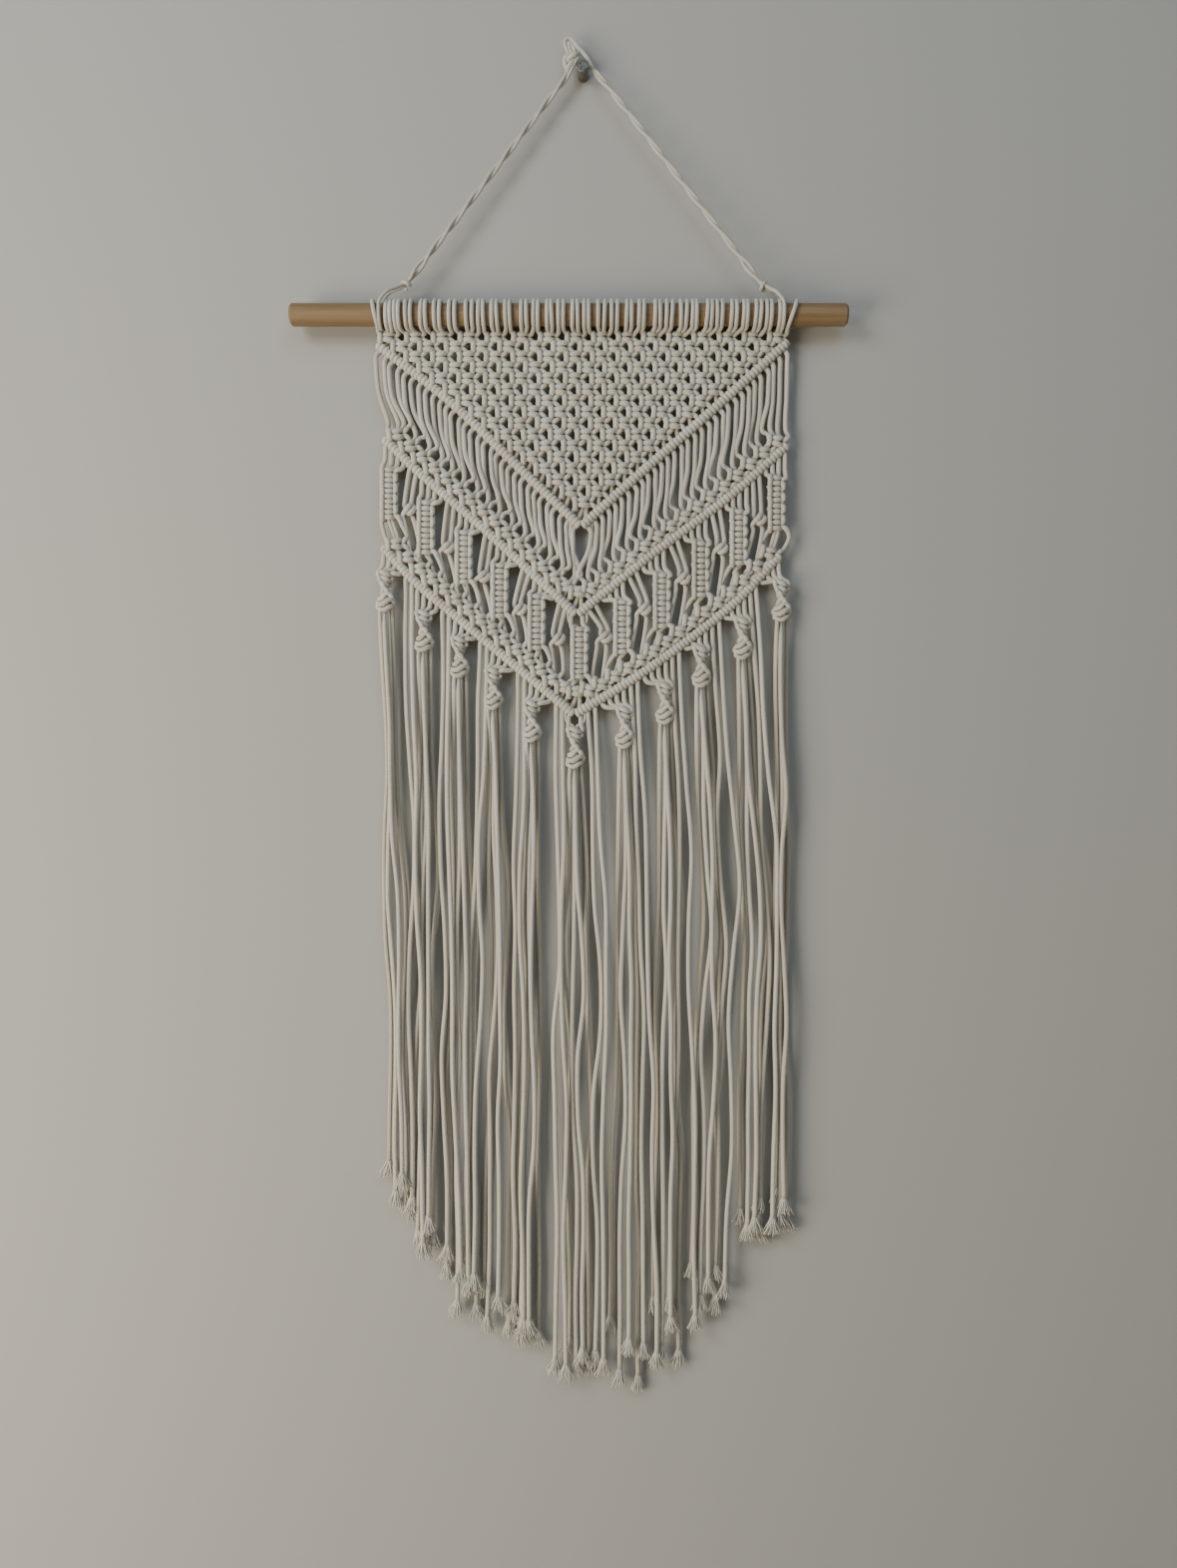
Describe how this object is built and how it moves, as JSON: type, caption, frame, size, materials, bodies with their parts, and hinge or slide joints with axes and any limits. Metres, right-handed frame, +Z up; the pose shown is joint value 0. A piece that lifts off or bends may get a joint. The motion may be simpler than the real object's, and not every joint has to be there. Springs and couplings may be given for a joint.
{
  "type": "macrame wall hanging on a wooden dowel",
  "caption": "Long macrame wall hanging with a knotted V net, three diagonal bars and a pointed fringe, hung by a cord from a wooden dowel.",
  "frame": {"origin": "where the nail's axis meets the face of the wall", "axes": "+X to the right as seen from the front, +Y into the wall, +Z up"},
  "size_m": [0.4002, 0.0269, 0.9821],
  "materials": {
    "cotton_panel": "matte",
    "cotton_fringe": "matte",
    "cotton_hanger": "matte",
    "dowel_wood": "satin",
    "nail_metal": "satin"
  },
  "bodies": {
    "root": {"dowel": "dowel_wood", "wall_nail": "nail_metal", "hanger_cord": "cotton_hanger", "knotted_panel": "cotton_panel", "fringe": "cotton_fringe"}
  },
  "joints": []
}
